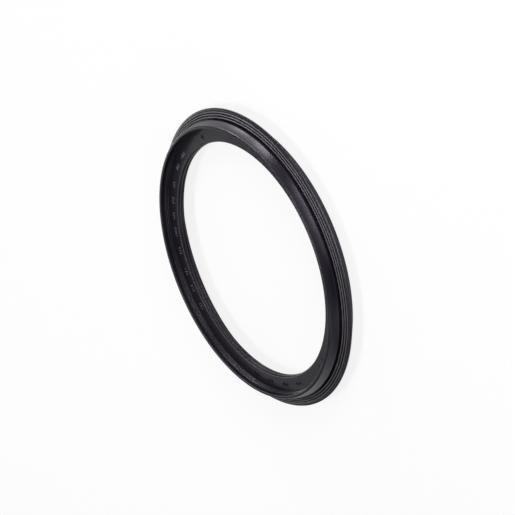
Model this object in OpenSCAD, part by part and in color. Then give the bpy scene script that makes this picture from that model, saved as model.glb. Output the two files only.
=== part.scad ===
// Seal ring for a pipe of 160 mm outside diameter, moulded in one piece from black rubber.
// The ring lies flat: its rear rim is at z = 0, its front lip points up, and its axis is Z.
// Every shape is one cross-section turned round that axis: X is the radius and Y the height.

/* [Bore and web] */
// Diameter of the hole that grips the pipe; every other radius is this one plus named widths
bore_d = 157; // [100:0.5:300]
// Width of the web, from the bore to the inside of the lip
web_w = 11.1; // [9:0.1:16]
// Thickness of the web, the flat inner part round the bore
web_t = 5; // [4:0.1:6]
// Height of the web's rear face over the rear rim
web_z = 6.9; // [6:0.1:9]
// Radius of the rounded edges at both ends of the bore
bore_edge_r = 0.5; // [0.2:0.1:0.7]
// Width of the step round the front end of the bore
bore_step_w = 0.8; // [0.8:0.1:1.6]
// Depth of that step below the web's front face
bore_step_d = 0.9; // [0.4:0.1:1.4]
// Radius of the round groove half way up the bore, which leaves a grip band on each side of it
bore_groove_r = 0.35; // [0.2:0.05:0.5]

/* [Front lip] */
// Thickness of the lip at its free edge
lip_t = 1.9; // [1.8:0.1:2.6]
// Height of the lip over the web's front face
lip_h = 6.1; // [5:0.1:9]
// Radius of the rounded free edge of the lip
lip_edge_r = 0.8; // [0.3:0.1:0.8]
// Width by which the lip's outer wall leans out, from its free edge down to where it turns under
lip_lean = 1.9; // [1.2:0.1:2.6]
// Height of that turn over the start of the flange's slope
turn_h = 2; // [1.5:0.1:2.6]
// Radius of that turn
turn_r = 1; // [0.3:0.1:2]
// Width of the undercut from the turn down to the hinge groove
undercut_w = 0.15; // [0.05:0.05:0.3]
// Width of the thicker foot inside the lip
foot_w = 0.9; // [0.5:0.1:1.6]
// Height of that foot over the web's front face
foot_h = 3.3; // [2.8:0.1:3.6]
// Number of fine beads on the foot
foot_bead_count = 3; // [1:1:3]
// Distance from one fine bead to the next, along the foot
foot_bead_pitch = 1.05; // [0.8:0.05:1.1]
// Radius of each fine bead
foot_bead_r = 0.3; // [0.2:0.05:0.35]
// How far each fine bead stands out of the foot
foot_bead_h = 0.16; // [0.1:0.02:0.18]
// Depth and width of the groove where the foot meets the web's face
foot_groove = 0.4; // [0.1:0.1:0.8]

/* [Flange] */
// Width of the hinge groove between the lip and the flange
hinge_w = 0.9; // [0.8:0.05:1.2]
// Depth of that groove below the start of the flange's slope
hinge_d = 0.4; // [0.35:0.05:0.6]
// Radius of the two hollow corners at its bottom
hinge_r = 0.35; // [0.1:0.05:0.35]
// Depth of the slope's start below the web's front face
slope_start_d = 1.8; // [1:0.1:2.2]
// Width of the flange's front slope, from the hinge groove to the outer edge
slope_w = 5.85; // [5.5:0.05:9]
// Drop of that slope
slope_drop = 2.4; // [2:0.1:3.5]
// Height of the outer edge
land_h = 0.8; // [0.6:0.1:2]
// Radius of the rounded corners of the outer edge
land_edge_r = 0.25; // [0.1:0.05:0.3]
// Number of round ribs on the slope
rib_count = 3; // [1:1:3]
// Distance of the first rib from the start of the slope
rib_start = 0.45; // [0.4:0.05:0.7]
// Distance from one rib to the next, along the slope
rib_pitch = 1.5; // [1.3:0.05:1.6]
// Radius of each rib
rib_r = 0.5; // [0.4:0.05:0.55]
// How far each rib stands out of the slope
rib_h = 0.48; // [0.2:0.04:0.48]
// Radius of the round groove on the outer side of each rib
rib_groove_r = 0.3; // [0.1:0.05:0.3]

/* [Rear lip] */
// Distance of the rear rim, which the ring lies on, inside the outer edge
rim_inset = 8.2; // [4:0.1:9]
// Width of the rear rim
rim_w = 2; // [1.4:0.1:2.6]
// Radius of the rounded edges of the rear rim
rim_edge_r = 0.4; // [0.2:0.1:0.6]
// Width by which the inner wall of the rear lip leans in, over its height
rear_draft = 0.8; // [0:0.1:1.5]
// Radius of the hollow corner between the web and the rear lip
rear_fillet_r = 1; // [0.4:0.1:2]

/* [Hidden] */
// Sides of the full turn, and of the small circles in the section
turn_sides = 180;
arc_sides = 32;

bore_r = bore_d / 2;
web_top = web_z + web_t;
step_r = bore_r + bore_step_w;
step_z = web_top - bore_step_d;
lip_in_r = bore_r + web_w;
lip_out_r = lip_in_r + lip_t;
lip_top = web_top + lip_h;
foot_r = lip_in_r - foot_w;
turn_x = lip_out_r + lip_lean;
undercut_x = turn_x - undercut_w;
slope_x = undercut_x + hinge_w;
slope_z = web_top - slope_start_d;
flange_r = slope_x + slope_w;
land_top = slope_z - slope_drop;
rim_out_r = flange_r - rim_inset;
rim_in_r = rim_out_r - rim_w;
rear_in_r = rim_in_r - rear_draft;

// Ends of the two straight stretches that carry beads, and the middle of the bore's wall
slope_top = [slope_x, slope_z];
slope_end = [flange_r, land_top];
foot_end = [foot_r, web_top];
foot_top = [lip_in_r, web_top + foot_h];
bore_middle = [bore_r, (web_z + step_z) / 2];

// Corners of the section, each with its radius, anticlockwise from the rear rim
CORNERS = [
    [rim_in_r, 0, rim_edge_r],
    [rim_out_r, 0, rim_edge_r],
    [flange_r, land_top - land_h, land_edge_r],
    [flange_r, land_top, land_edge_r],
    [slope_x, slope_z, 0],
    [slope_x, slope_z - hinge_d, hinge_r],
    [undercut_x, slope_z - hinge_d, hinge_r],
    [turn_x, slope_z + turn_h, turn_r],
    [lip_out_r, lip_top, lip_edge_r],
    [lip_in_r, lip_top, lip_edge_r],
    [lip_in_r, web_top + foot_h, 0],
    [foot_r, web_top, 0],
    [foot_r, web_top - foot_groove, 0],
    [foot_r - foot_groove, web_top, 0],
    [step_r, web_top, 0],
    [step_r, step_z, 0],
    [bore_r, step_z, bore_edge_r],
    [bore_r, web_z, bore_edge_r],
    [rear_in_r, web_z, rear_fillet_r]
];
LAST = len(CORNERS) - 1;

function place(i) = let (c = CORNERS[(i + len(CORNERS)) % len(CORNERS)]) [c[0], c[1]];
function unit(v) = v / norm(v);
// Directions from corner i to the corners before and after it
function back(i) = unit(place(i - 1) - place(i));
function ahead(i) = unit(place(i + 1) - place(i));
// Half of the angle between those directions
function half_angle(i) = acos(back(i) * ahead(i)) / 2;
// An outer corner is rounded off, and an inner corner is filled
function is_outer(i) = cross(back(i), ahead(i)) < 0;
function is_round(i) = CORNERS[i][2] > 0;
// Centre of the arc at corner i, and the distance from the corner to both ends of the arc
function arc_centre(i) = place(i) + unit(back(i) + ahead(i)) * CORNERS[i][2] / sin(half_angle(i));
function arc_reach(i) = CORNERS[i][2] / tan(half_angle(i));

module arc_disc(i) {
    translate(arc_centre(i)) circle(r = CORNERS[i][2], $fn = arc_sides);
}

// The plain section, with its corners rounded by true arcs
module outline() {
    difference() {
        union() {
            polygon([
                for (i = [0 : LAST])
                    each is_round(i)
                        ? [place(i) + back(i) * arc_reach(i), place(i) + ahead(i) * arc_reach(i)]
                        : [place(i)]
            ]);
            for (i = [0 : LAST]) if (is_round(i) && is_outer(i)) arc_disc(i);
        }
        for (i = [0 : LAST]) if (is_round(i) && !is_outer(i)) arc_disc(i);
    }
}

// Round beads on the straight stretch from one point to another, standing out on its left
module beads(from, to, count, start, pitch, r, stand_out) {
    along = unit(to - from);
    left = [-along[1], along[0]];
    for (k = [0 : count - 1])
        translate(from + along * (start + k * pitch) + left * (stand_out - r))
            circle(r = r, $fn = arc_sides);
}

module seal_ring() {
    color([0.13, 0.125, 0.14])
    rotate_extrude($fn = turn_sides)
    difference() {
        union() {
            outline();
            beads(slope_top, slope_end, rib_count, rib_start, rib_pitch, rib_r, rib_h);
            beads(foot_end, foot_top, foot_bead_count, foot_bead_pitch / 2, foot_bead_pitch,
                foot_bead_r, foot_bead_h);
        }
        beads(slope_top, slope_end, rib_count, rib_start + rib_pitch / 2, rib_pitch, rib_groove_r,
            rib_groove_r);
        translate(bore_middle) circle(r = bore_groove_r, $fn = arc_sides);
    }
}

seal_ring();
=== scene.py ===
"""Looks of the pipe seal ring: the moulded rubber ring, lying on a pale studio floor.

The ring is one section turned round the Z axis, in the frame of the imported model. Sizes of the
ring and of the ticks on it are in millimetres, and MM turns them into metres. Lengths in the rest
of the scene are in metres, but for the camera's sensor.
"""
from collections import namedtuple
import math

import bpy
from mathutils import Matrix, Vector


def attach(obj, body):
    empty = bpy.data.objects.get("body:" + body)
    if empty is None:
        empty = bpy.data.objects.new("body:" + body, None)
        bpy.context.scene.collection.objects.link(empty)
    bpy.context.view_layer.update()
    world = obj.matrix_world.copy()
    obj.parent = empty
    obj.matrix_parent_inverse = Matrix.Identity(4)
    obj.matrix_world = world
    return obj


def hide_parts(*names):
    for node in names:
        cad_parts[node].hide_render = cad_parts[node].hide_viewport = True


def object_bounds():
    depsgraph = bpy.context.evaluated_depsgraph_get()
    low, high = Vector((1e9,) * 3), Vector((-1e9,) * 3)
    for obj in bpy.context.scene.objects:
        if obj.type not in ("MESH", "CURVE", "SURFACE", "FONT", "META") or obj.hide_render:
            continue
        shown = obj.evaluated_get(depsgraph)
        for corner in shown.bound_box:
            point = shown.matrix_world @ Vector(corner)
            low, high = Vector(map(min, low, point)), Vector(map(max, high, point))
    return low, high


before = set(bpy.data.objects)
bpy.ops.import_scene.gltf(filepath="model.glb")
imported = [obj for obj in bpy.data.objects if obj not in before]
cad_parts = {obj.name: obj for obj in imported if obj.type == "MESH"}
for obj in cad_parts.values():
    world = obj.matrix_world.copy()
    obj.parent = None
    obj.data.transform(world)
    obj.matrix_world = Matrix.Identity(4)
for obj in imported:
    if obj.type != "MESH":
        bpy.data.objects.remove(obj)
cad_low, cad_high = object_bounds()

MM = 0.001

# Web: its width outward from the bore, its thickness, the height of its rear face over the rear
# rim, and the step round the front end of the bore
BORE_R = 78.5
WEB_W = 11.1
WEB_T = 5.0
WEB_Z = 6.9
WEB_EDGE_R = 0.15
STEP_W = 0.8
STEP_D = 0.9
STEP_EDGE_R = 0.1

# Front lip: its outer wall is slightly hollow and leans out, down to where it turns under. Inside
# it is a thicker foot, with a groove where the foot meets the web
LIP_T = 1.9
LIP_EDGE_R = 0.95
LIP_INNER_EDGE_R = 0.25
LIP_HOLLOW = 0.2
LIP_HOLLOW_R = 30
LIP_LEAN = 1.9
TURN_H = 2.0
TURN_R = 1.0
UNDERCUT_W = 0.15
FOOT_W = 0.9
FOOT_H = 3.3
FOOT_TOP_R = 0.3
GROOVE = 0.4
GROOVE_EDGE_R = 0.1

# Flange: the hinge groove beside the lip, the slope, whose start lies SLOPE_START_D below the
# web's front face, and the narrow outer land
HINGE_W = 0.9
HINGE_D = 0.4
HINGE_R = 0.35
HINGE_EDGE_R = 0.02
SLOPE_START_D = 1.8
SLOPE_DROP = 2.4
LAND_H = 0.8
LAND_EDGE_R = 0.3

# Rear lip, whose end is the flat rim that the ring lies on
RIM_INSET = 8.2
RIM_W = 2.0
RIM_EDGE_R = 0.4
REAR_DRAFT = 0.8
REAR_FILLET_R = 1.0

# The outside radius and the height come from the frame, and the rest follows from the sizes above
FLANGE_R = cad_high.x / MM
LIP_TOP = cad_high.z / MM
WEB_TOP = WEB_Z + WEB_T
LIP_IN_R = BORE_R + WEB_W
LIP_OUT_R = LIP_IN_R + LIP_T
FOOT_R = LIP_IN_R - FOOT_W
TURN_X = LIP_OUT_R + LIP_LEAN
UNDERCUT_X = TURN_X - UNDERCUT_W
SLOPE_X = UNDERCUT_X + HINGE_W
SLOPE_Z = WEB_TOP - SLOPE_START_D
TURN_Z = SLOPE_Z + TURN_H
LAND_TOP = SLOPE_Z - SLOPE_DROP
RIM_OUT_R = FLANGE_R - RIM_INSET
RIM_IN_R = RIM_OUT_R - RIM_W
REAR_IN_R = RIM_IN_R - REAR_DRAFT

# A row of round beads on a straight stretch: how many, the distance of the first one from the
# corner where the stretch ends, their pitch, their radius, how far they stand out, and the depth
# of the grooves between them
Beads = namedtuple("Beads", "count first pitch radius stand_out groove")
RIBS = Beads(3, 0.5, 1.62, 0.45, 0.48, 0.9)
FOOT_BEADS = Beads(3, 0.525, 1.05, 0.3, 0.2, 0)
# The bore's wall is two broad beads, which stand out to the bore's radius
BORE_BEADS = Beads(2, 1.0, 2.1, 1.05, 0.45, 0)
BORE_WALL_R = BORE_R + BORE_BEADS.stand_out
# Radius of the small round groove after the last rib
LAST_GROOVE_R = 0.2

# Corners of the section, anticlockwise from the rear rim: radius, height and corner radius. A
# fourth value is the row of beads on the stretch that ends at the corner, counted from it
CORNERS = [
    (RIM_IN_R, 0, RIM_EDGE_R),
    (RIM_OUT_R, 0, RIM_EDGE_R),
    (FLANGE_R, LAND_TOP - LAND_H, LAND_EDGE_R),
    (FLANGE_R, LAND_TOP, LAND_EDGE_R),
    (SLOPE_X, SLOPE_Z, HINGE_EDGE_R, RIBS),
    (SLOPE_X, SLOPE_Z - HINGE_D, HINGE_R),
    (UNDERCUT_X, SLOPE_Z - HINGE_D, HINGE_R),
    (TURN_X, TURN_Z, TURN_R),
    ((TURN_X + LIP_OUT_R) / 2 - LIP_HOLLOW, (TURN_Z + LIP_TOP) / 2, LIP_HOLLOW_R),
    (LIP_OUT_R, LIP_TOP, LIP_EDGE_R),
    (LIP_IN_R, LIP_TOP, LIP_INNER_EDGE_R),
    (LIP_IN_R, WEB_TOP + FOOT_H, FOOT_TOP_R),
    (FOOT_R, WEB_TOP, GROOVE_EDGE_R, FOOT_BEADS),
    (FOOT_R, WEB_TOP - GROOVE, GROOVE_EDGE_R),
    (FOOT_R - GROOVE, WEB_TOP, GROOVE_EDGE_R),
    (BORE_R + STEP_W, WEB_TOP, WEB_EDGE_R),
    (BORE_R + STEP_W, WEB_TOP - STEP_D, STEP_EDGE_R),
    (BORE_WALL_R, WEB_TOP - STEP_D, STEP_EDGE_R),
    (BORE_WALL_R, WEB_Z, STEP_EDGE_R, BORE_BEADS),
    (REAR_IN_R, WEB_Z, REAR_FILLET_R),
]

# A corner's arc has one step for each ARC_STEP that it turns, but no more steps than MIN_CHORD
# goes into its radius, and never fewer than MIN_ARC_STEPS
ARC_STEP = math.radians(14)
MIN_CHORD = 0.05
MIN_ARC_STEPS = 3
BEAD_ARC_STEPS = 10
GROOVE_ARC_STEPS = 8
# Distance of the points that keep a stretch straight from the corner's arc, or from a bead
SUPPORT = 0.12
BEAD_SUPPORT = 0.05
TURN_SIDES = 360

# Relief is how far a point stands out of the outline averaged over RELIEF_SPAN, which is measured
# in steps of RELIEF_STEP
RELIEF_SPAN = 1.2
RELIEF_STEP = 0.05

# Plain raised ticks on the web's front face. Each group has the angle of its middle in degrees, its
# number of ticks, and the relief given to their tops, which only sets their shade: a painted
# highlight on the groups from 20 to 101 degrees and a painted shade on the others
Group = namedtuple("Group", "angle count relief")
# Tick-top relief that paints a highlight on the lit groups and a shade on the others
PAINTED_HIGHLIGHT_TICK = 0.2
PAINTED_SHADE_TICK = -0.07
TICK_GROUPS = [
    Group(358, 2, PAINTED_SHADE_TICK),
    Group(20, 4, PAINTED_HIGHLIGHT_TICK),
    Group(29, 3, PAINTED_HIGHLIGHT_TICK),
    Group(40, 3, PAINTED_HIGHLIGHT_TICK),
    Group(49, 3, PAINTED_HIGHLIGHT_TICK),
    Group(57, 3, PAINTED_HIGHLIGHT_TICK),
    Group(65, 4, PAINTED_HIGHLIGHT_TICK),
    Group(74, 3, PAINTED_HIGHLIGHT_TICK),
    Group(84, 3, PAINTED_HIGHLIGHT_TICK),
    Group(92, 3, PAINTED_HIGHLIGHT_TICK),
    Group(101, 3, PAINTED_HIGHLIGHT_TICK),
    Group(146, 3, PAINTED_SHADE_TICK),
    Group(156, 4, PAINTED_SHADE_TICK),
    Group(168, 4, PAINTED_SHADE_TICK),
    Group(179, 4, PAINTED_SHADE_TICK),
    Group(202, 1, PAINTED_SHADE_TICK),
    Group(207, 1, PAINTED_SHADE_TICK),
]
TICK_R = 83.6
TICK_PITCH = 1.8
# The ticks take these lengths in turn
TICK_LENGTHS = (3.4, 1.8, 3.4, 2.6)
TICK_W = 0.75
TICK_H = 0.4
TICK_SUNK = 0.05
# Powers that shape a tick: a high one makes its ends blunt, and a low one makes its top flat
TICK_END_POWER = 4
TICK_TOP_POWER = 0.5
TICK_SLICES = 7
TICK_SIDES = 12

# The rubber's slow mottle and its fine grain; the scales are per metre
MOTTLE = {"Scale": 70, "Detail": 4, "Roughness": 0.6}
GRAIN = {"Scale": 1900, "Detail": 3, "Roughness": 0.6}
GRAIN_BUMP = {"Strength": 0.12, "Distance": 0.00003}
# Its colour by relief in millimetres: grooves painted near black, a painted shade; plain surfaces in
# the rubber's own black; crests and tops of light ticks painted lighter, a painted highlight
PLAIN_BLACK = (0.0042, 0.0036, 0.0075)
RELIEF_RANGE = (-0.2, 0.2)
# Painted shade in the grooves and painted highlights on the crests and light tick tops, set by
# relief
PAINTED_RELIEF_SHADES = [
    (-0.14, (0.001, 0.001, 0.0018)),
    (-0.02, PLAIN_BLACK),
    (0.032, PLAIN_BLACK),
    (0.096, (0.05, 0.047, 0.054)),
    (0.18, (0.14, 0.135, 0.145)),
]
# Ranges over which the mottle varies the colour, as a factor, and the roughness
MOTTLE_FACTOR = (0.75, 1.25)
MOTTLE_ROUGHNESS = (0.26, 0.34)
# Surfaces that face down are rougher: the share added, as the normal's Z goes over this range
UNDERSIDE_Z = (-0.15, -0.55)
UNDERSIDE_ROUGHNESS = (0, 0.6)
SPECULAR_LEVEL = 0.28
SPECULAR_TINT = (0.94, 0.84, 1, 1)

# Floor: half its width in metres, its paper's grey, and the share of plain white in what the
# camera sees of it; the rest is lit paper, which shows the ring's shadow
FLOOR_HALF = 20
PAPER_GREY = 0.95
WHITE_SHARE = 0.85
WHITE = (1, 1, 1, 1)

# The photograph's view: its picture is square, and the point of the ring's axis at AXIS_HEIGHT
# is seen at AXIS_PX. CAMERA_ROLL turns the camera about its own line of sight
PHOTO_PX = 515
AXIS_PX = (253.3, 258.8)
AXIS_HEIGHT = 0.00889
METRES_PER_PX = 0.000635
CAMERA_DISTANCE = 2.117
CAMERA_ELEVATION = math.radians(29.67)
CAMERA_ROLL = math.radians(112.12)
CAMERA_CLIP = (0.1, 100)
SENSOR_MM = 36

# Softboxes: azimuth from +X and elevation of the direction to the lamp in degrees, width and
# height in metres, and power in watts. All of them face the ring from LAMP_DISTANCE
LAMP_DISTANCE = 1.2
LAMPS = {
    "rear_top": (90, 72, 0.4, 0.4, 7.6),
    "rear": (98, 32, 0.35, 0.35, 0.3),
    "rear_strip": (74, 19, 0.3, 0.3, 1.6),
    "rear_low": (75, 6, 0.22, 0.22, 0.5),
    "left_low": (165, 6, 0.22, 0.22, 0.5),
    "left": (205, 18, 0.3, 0.3, 2.3),
    "front_left": (260, 18, 0.3, 0.3, 1.4),
    "front": (280, 18, 0.3, 0.3, 3.7),
    "front_right": (300, 18, 0.3, 0.3, 4.2),
    "right_high": (330, 34, 0.35, 0.35, 3.0),
    "right_low": (345, 4, 0.3, 0.14, 4.6),
    "right_strip": (10, 4, 0.3, 0.14, 7.0),
    "right_rear": (28, 4, 0.3, 0.14, 1.2),
}
# Strength of the plain white light from the sky
SKY = 0.02


def unit(v):
    return v / v.length


def turned(v, angle):
    """The plane vector v, turned anticlockwise by angle."""
    return Vector((v.x * math.cos(angle) - v.y * math.sin(angle),
                   v.x * math.sin(angle) + v.y * math.cos(angle)))


class Corner:
    """One corner of the section, with the arc that rounds it."""

    def __init__(self, before, place, after, radius):
        self.place = place
        self.radius = radius
        self.back = unit(before - place)
        ahead = unit(after - place)
        self.half_angle = self.back.angle(ahead) / 2
        self.reach = radius / math.tan(self.half_angle)
        self.centre = place + unit(self.back + ahead) * (radius / math.sin(self.half_angle))
        self.side = 1 if self.back.x * ahead.y - self.back.y * ahead.x < 0 else -1

    def arc(self):
        turn = math.pi - 2 * self.half_angle
        start = self.place + self.back * self.reach - self.centre
        steps = max(MIN_ARC_STEPS, min(round(turn / ARC_STEP), round(self.radius / MIN_CHORD)))
        return [self.centre + turned(start, self.side * turn * step / steps)
                for step in range(steps + 1)]


def arc_points(centre, along, out, radius, start, stop, steps):
    """Points on an arc round centre; the angle runs from along, at 0, towards out."""
    points = []
    for step in range(steps + 1):
        angle = start + (stop - start) * step / steps
        points.append(centre + along * (radius * math.cos(angle)) + out * (radius * math.sin(angle)))
    return points


def round_groove(middle, along, out, radius):
    """Points over a half circle that is sunk into the stretch, with its centre at middle."""
    return arc_points(middle, along, out, radius, math.pi, 2 * math.pi, GROOVE_ARC_STEPS)


def deep_groove(middle, along, out, half, depth):
    """Points over a groove with straight walls and a round bottom; its width is twice half."""
    return [middle - along * half - out * BEAD_SUPPORT,
            *round_groove(middle - out * (depth - half), along, out, half),
            middle + along * half - out * BEAD_SUPPORT]


def row_points(foot, room, along, out, beads):
    """Points over a row of beads and the grooves after them, counted from a corner at foot.

    The corner's own arc takes up the first stretch, of length room.
    """
    # The angle at which a bead's arc leaves the stretch, half of the bead's width there, and half
    # of the gap between two beads
    tilt = math.asin(max(-1.0, min(1.0, (beads.radius - beads.stand_out) / beads.radius)))
    half = beads.radius * math.cos(tilt)
    half_gap = beads.pitch / 2 - half
    points = []
    for number in range(beads.count):
        middle = foot + along * (beads.first + number * beads.pitch)
        follows_groove = beads.groove and number
        if not follows_groove and beads.first - half - BEAD_SUPPORT > room:
            points.append(middle - along * (half + BEAD_SUPPORT))
        points += arc_points(middle + out * (beads.stand_out - beads.radius), along, out,
                             beads.radius, math.pi - tilt, tilt, BEAD_ARC_STEPS)
        if not beads.groove:
            points.append(middle + along * (half + BEAD_SUPPORT))
        elif number < beads.count - 1:
            points += deep_groove(middle + along * (beads.pitch / 2), along, out, half_gap,
                                  beads.groove)
        else:
            points += round_groove(middle + along * (half + LAST_GROOVE_R), along, out,
                                   LAST_GROOVE_R)
    return points


def stretch_points(start, end, beads=None):
    """Points between the arcs of two corners: the support points of the stretch, and its beads.

    The two support points of a short stretch divide it into three equal parts.
    """
    free = (end.place - start.place).length - start.reach - end.reach
    support = min(SUPPORT, free / 3)
    along = unit(start.place - end.place)
    out = Vector((-along.y, along.x))
    if beads:
        points = row_points(end.place, end.reach, along, out, beads)
    else:
        points = [end.place + along * (end.reach + support)]
    points.append(start.place - along * (start.reach + support))
    return points[::-1]


def section():
    """The closed outline of the section as points (radius, height), anticlockwise."""
    places = [Vector(row[:2]) for row in CORNERS]
    following = places[1:] + places[:1]
    corners = [Corner(places[i - 1], place, following[i], CORNERS[i][2])
               for i, place in enumerate(places)]
    points = []
    for i, corner in enumerate(corners):
        points += stretch_points(corners[i - 1], corner, *CORNERS[i][3:]) + corner.arc()
    return points


def relief(points):
    """How far each point of the outline stands out of the outline averaged over RELIEF_SPAN."""
    even = []
    places = []
    for point, following in zip(points, points[1:] + points[:1]):
        count = max(1, math.ceil((following - point).length / RELIEF_STEP))
        places.append(len(even))
        even += [point.lerp(following, step / count) for step in range(count)]
    half = round(RELIEF_SPAN / RELIEF_STEP / 2)
    heights = []
    for at in places:
        near = [even[(at + step) % len(even)] for step in range(-half, half + 1)]
        mean = sum(near, Vector((0, 0))) / len(near)
        along = unit(even[(at + 1) % len(even)] - even[at - 1])
        out = Vector((along.y, -along.x))
        heights.append((even[at] - mean).dot(out))
    return heights


def smooth_mesh(name, verts, faces, heights):
    """A mesh with smooth shading, whose points carry their relief."""
    mesh = bpy.data.meshes.new(name)
    mesh.from_pydata(verts, [], faces)
    mesh.polygons.foreach_set("use_smooth", [True] * len(faces))
    mesh.attributes.new("relief", "FLOAT", "POINT").data.foreach_set("value", heights)
    mesh.validate()
    return mesh


def ring_mesh(name, points):
    """The section turned round Z, as a closed mesh of quads."""
    verts, faces = [], []
    n = len(points)
    for side in range(TURN_SIDES):
        angle = 2 * math.pi * side / TURN_SIDES
        for p in points:
            verts.append((p.x * MM * math.cos(angle), p.x * MM * math.sin(angle), p.y * MM))
        here = side * n
        there = (side + 1) % TURN_SIDES * n
        for i in range(n):
            after = (i + 1) % n
            faces.append((here + i, there + i, there + after, here + after))
    return smooth_mesh(name, verts, faces, relief(points) * TURN_SIDES)


def tick_points(length):
    """Points over a tick that lies along X, slice by slice from one blunt end to the other."""
    points = []
    for i in range(1, TICK_SLICES):
        along = -math.cos(math.pi * i / TICK_SLICES)
        full = math.sqrt(1 - along ** TICK_END_POWER)
        for side in range(TICK_SIDES):
            angle = 2 * math.pi * side / TICK_SIDES
            rise = max(0.0, math.sin(angle)) ** TICK_TOP_POWER * TICK_H * full
            dip = min(0.0, math.sin(angle)) * TICK_SUNK
            across = TICK_W / 2 * math.cos(angle) * full
            points.append(Vector((along * length / 2, across, rise + dip)))
    return points


def tick_faces(base):
    """Faces of the closed tick whose points start at number base."""
    faces = []
    last = base + (TICK_SLICES - 2) * TICK_SIDES
    for here in range(base, last, TICK_SIDES):
        there = here + TICK_SIDES
        for side in range(TICK_SIDES):
            after = (side + 1) % TICK_SIDES
            faces.append((here + side, here + after, there + after, there + side))
    faces.append(tuple(base + side for side in reversed(range(TICK_SIDES))))
    faces.append(tuple(last + side for side in range(TICK_SIDES)))
    return faces


def tick_places():
    """The angle of every tick and the relief that paints its top's highlight or shade, group by
    group.
    """
    step = TICK_PITCH / TICK_R
    for group in TICK_GROUPS:
        for number in range(group.count):
            offset = number - (group.count - 1) / 2
            yield math.radians(group.angle) + offset * step, group.relief


def ticks_mesh(name):
    verts, faces, heights = [], [], []
    for number, (angle, painted_top_shade) in enumerate(tick_places()):
        faces += tick_faces(len(verts))
        for p in tick_points(TICK_LENGTHS[number % len(TICK_LENGTHS)]):
            place = turned(Vector((TICK_R + p.x, p.y)), angle)
            verts.append((place.x * MM, place.y * MM, (WEB_TOP + p.z) * MM))
            # The top's relief paints a highlight on ticks of the lit groups and a shade on the rest
            heights.append(painted_top_shade * max(0.0, p.z) / TICK_H)
    return smooth_mesh(name, verts, faces, heights)


def new_piece(name, mesh, material):
    piece = bpy.data.objects.new(name, mesh)
    bpy.context.scene.collection.objects.link(piece)
    piece.data.materials.append(material)
    return piece


class Nodes:
    """A short way to add and join shader nodes."""

    def __init__(self, material):
        material.use_nodes = True
        self.tree = material.node_tree
        self.tree.nodes.clear()

    def add(self, kind, settings=None, **inputs):
        node = self.tree.nodes.new(kind)
        for key, value in (settings or {}).items():
            setattr(node, key, value)
        for key, value in inputs.items():
            self.set(node, key.replace("_", " "), value)
        return node

    def set(self, node, key, value):
        socket = node.inputs[int(key) if key.isdigit() else key]
        if isinstance(value, bpy.types.NodeSocket):
            self.tree.links.new(value, socket)
        else:
            socket.default_value = value

    def combine(self, operation, first, second):
        node = self.add("ShaderNodeMath", {"operation": operation})
        self.set(node, "0", first)
        self.set(node, "1", second)
        return node.outputs["Value"]

    def map_range(self, value, source, target=(0, 1)):
        node = self.add("ShaderNodeMapRange", Value=value)
        for key, number in zip(("From Min", "From Max", "To Min", "To Max"), source + target):
            self.set(node, key, number)
        return node.outputs["Result"]

    def ramp(self, value, source, stops):
        """The colour at value, from stops whose places are in the units of value."""
        node = self.add("ShaderNodeValToRGB", Fac=self.map_range(value, source))
        low, high = source
        elements = node.color_ramp.elements
        for place, colour in stops:
            elements.new((place - low) / (high - low)).color = (*colour, 1)
        # The two stops that a new ramp has at its ends
        elements.remove(elements[-1])
        elements.remove(elements[0])
        return node.outputs["Color"]


def rubber_material():
    material = bpy.data.materials.new("black_rubber")
    nodes = Nodes(material)
    coords = nodes.add("ShaderNodeTexCoord")
    place = coords.outputs["Object"]
    mottle = nodes.add("ShaderNodeTexNoise", Vector=place, **MOTTLE).outputs["Fac"]
    grain = nodes.add("ShaderNodeTexNoise", Vector=place, **GRAIN).outputs["Fac"]
    relief_mm = nodes.add("ShaderNodeAttribute", {"attribute_name": "relief"}).outputs["Fac"]
    # The base colour paints shade into the grooves and highlights onto the crests and light tick
    # tops, by relief, varied by the mottle
    colour = nodes.add("ShaderNodeVectorMath", {"operation": "MULTIPLY"})
    nodes.set(colour, "0", nodes.ramp(relief_mm, RELIEF_RANGE, PAINTED_RELIEF_SHADES))
    nodes.set(colour, "1", nodes.map_range(mottle, (0, 1), MOTTLE_FACTOR))
    satin = nodes.map_range(mottle, (0, 1), MOTTLE_ROUGHNESS)
    facing = nodes.add("ShaderNodeSeparateXYZ", Vector=coords.outputs["Normal"])
    matte = nodes.map_range(facing.outputs["Z"], UNDERSIDE_Z, UNDERSIDE_ROUGHNESS)
    bump = nodes.add("ShaderNodeBump", Height=grain, **GRAIN_BUMP)
    shader = nodes.add("ShaderNodeBsdfPrincipled", Roughness=nodes.combine("ADD", satin, matte),
                       Normal=bump.outputs["Normal"])
    nodes.set(shader, "Base Color", colour.outputs["Vector"])
    nodes.set(shader, "Specular IOR Level", SPECULAR_LEVEL)
    nodes.set(shader, "Specular Tint", SPECULAR_TINT)
    nodes.add("ShaderNodeOutputMaterial", Surface=shader.outputs["BSDF"])
    return material


def floor_material():
    material = bpy.data.materials.new("pale_floor")
    nodes = Nodes(material)
    paper = nodes.add("ShaderNodeBsdfDiffuse", Color=(PAPER_GREY, PAPER_GREY, PAPER_GREY, 1))
    white = nodes.add("ShaderNodeEmission", Color=WHITE, Strength=1)
    rays = nodes.add("ShaderNodeLightPath")
    seen = rays.outputs["Is Camera Ray"]
    for kind in ("Is Glossy Ray", "Is Transmission Ray"):
        seen = nodes.combine("MAXIMUM", seen, rays.outputs[kind])
    mix = nodes.add("ShaderNodeMixShader", Fac=nodes.combine("MULTIPLY", seen, WHITE_SHARE))
    nodes.set(mix, "1", paper.outputs["BSDF"])
    nodes.set(mix, "2", white.outputs["Emission"])
    nodes.add("ShaderNodeOutputMaterial", Surface=mix.outputs["Shader"])
    return material


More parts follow.
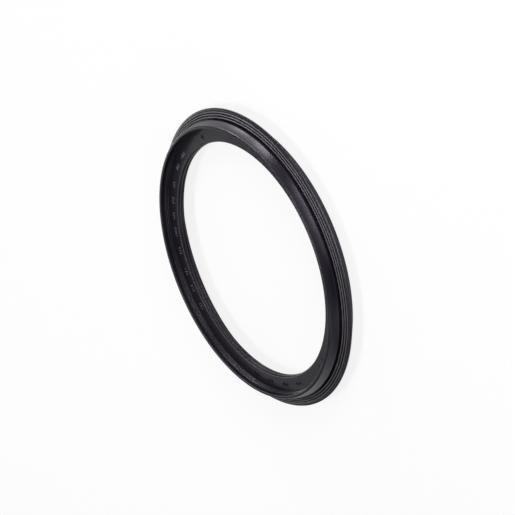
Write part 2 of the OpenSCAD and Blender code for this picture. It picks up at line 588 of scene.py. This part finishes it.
def make_floor():
    corners = [(-FLOOR_HALF, -FLOOR_HALF, 0), (FLOOR_HALF, -FLOOR_HALF, 0),
               (FLOOR_HALF, FLOOR_HALF, 0), (-FLOOR_HALF, FLOOR_HALF, 0)]
    mesh = bpy.data.meshes.new("floor")
    mesh.from_pydata(corners, [], [(0, 1, 2, 3)])
    floor = new_piece("floor", mesh, floor_material())


def make_camera():
    back = Vector((0, -math.cos(CAMERA_ELEVATION), math.sin(CAMERA_ELEVATION)))
    level_up = Vector((0, math.sin(CAMERA_ELEVATION), math.cos(CAMERA_ELEVATION)))
    level_right = Vector((1, 0, 0))
    right = math.cos(CAMERA_ROLL) * level_right - math.sin(CAMERA_ROLL) * level_up
    up = math.sin(CAMERA_ROLL) * level_right + math.cos(CAMERA_ROLL) * level_up
    aim = Vector((0, 0, AXIS_HEIGHT))
    aim += right * (PHOTO_PX / 2 - AXIS_PX[0]) * METRES_PER_PX
    aim -= up * (PHOTO_PX / 2 - AXIS_PX[1]) * METRES_PER_PX
    camera = bpy.data.cameras.new("camera")
    camera.sensor_width = SENSOR_MM
    camera.lens = SENSOR_MM * CAMERA_DISTANCE / (METRES_PER_PX * PHOTO_PX)
    camera.clip_start, camera.clip_end = CAMERA_CLIP
    holder = bpy.data.objects.new("camera", camera)
    holder.matrix_world = Matrix.Translation(aim + back * CAMERA_DISTANCE) @ Matrix(
        (right, up, back)).transposed().to_4x4()
    bpy.context.scene.collection.objects.link(holder)
    bpy.context.scene.camera = holder


def make_lamp(name, azimuth, elevation, width, height, watts):
    around = math.radians(azimuth)
    above = math.radians(elevation)
    towards = Vector((math.cos(around) * math.cos(above), math.sin(around) * math.cos(above),
                      math.sin(above)))
    data = bpy.data.lights.new(name, "AREA")
    data.shape = "RECTANGLE"
    data.size = width
    data.size_y = height
    data.energy = watts
    lamp = bpy.data.objects.new(name, data)
    lamp.location = towards * LAMP_DISTANCE
    lamp.rotation_mode = "QUATERNION"
    lamp.rotation_quaternion = towards.to_track_quat("Z", "Y")
    bpy.context.scene.collection.objects.link(lamp)


def make_lights():
    for name, values in LAMPS.items():
        make_lamp(name, *values)
    world = bpy.data.worlds.new("studio")
    world.use_nodes = True
    background = world.node_tree.nodes["Background"]
    background.inputs["Color"].default_value = WHITE
    background.inputs["Strength"].default_value = SKY
    bpy.context.scene.world = world


def make_ring():
    rubber = rubber_material()
    ring = new_piece("rubber_ring", ring_mesh("rubber_ring", section()), rubber)
    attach(ring, "root")
    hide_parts("seal_ring")
    ticks = new_piece("web_ticks", ticks_mesh("web_ticks"), rubber)
    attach(ticks, "root")


make_camera()
make_lights()
make_floor()
make_ring()
bpy.context.scene.view_settings.view_transform = "Standard"
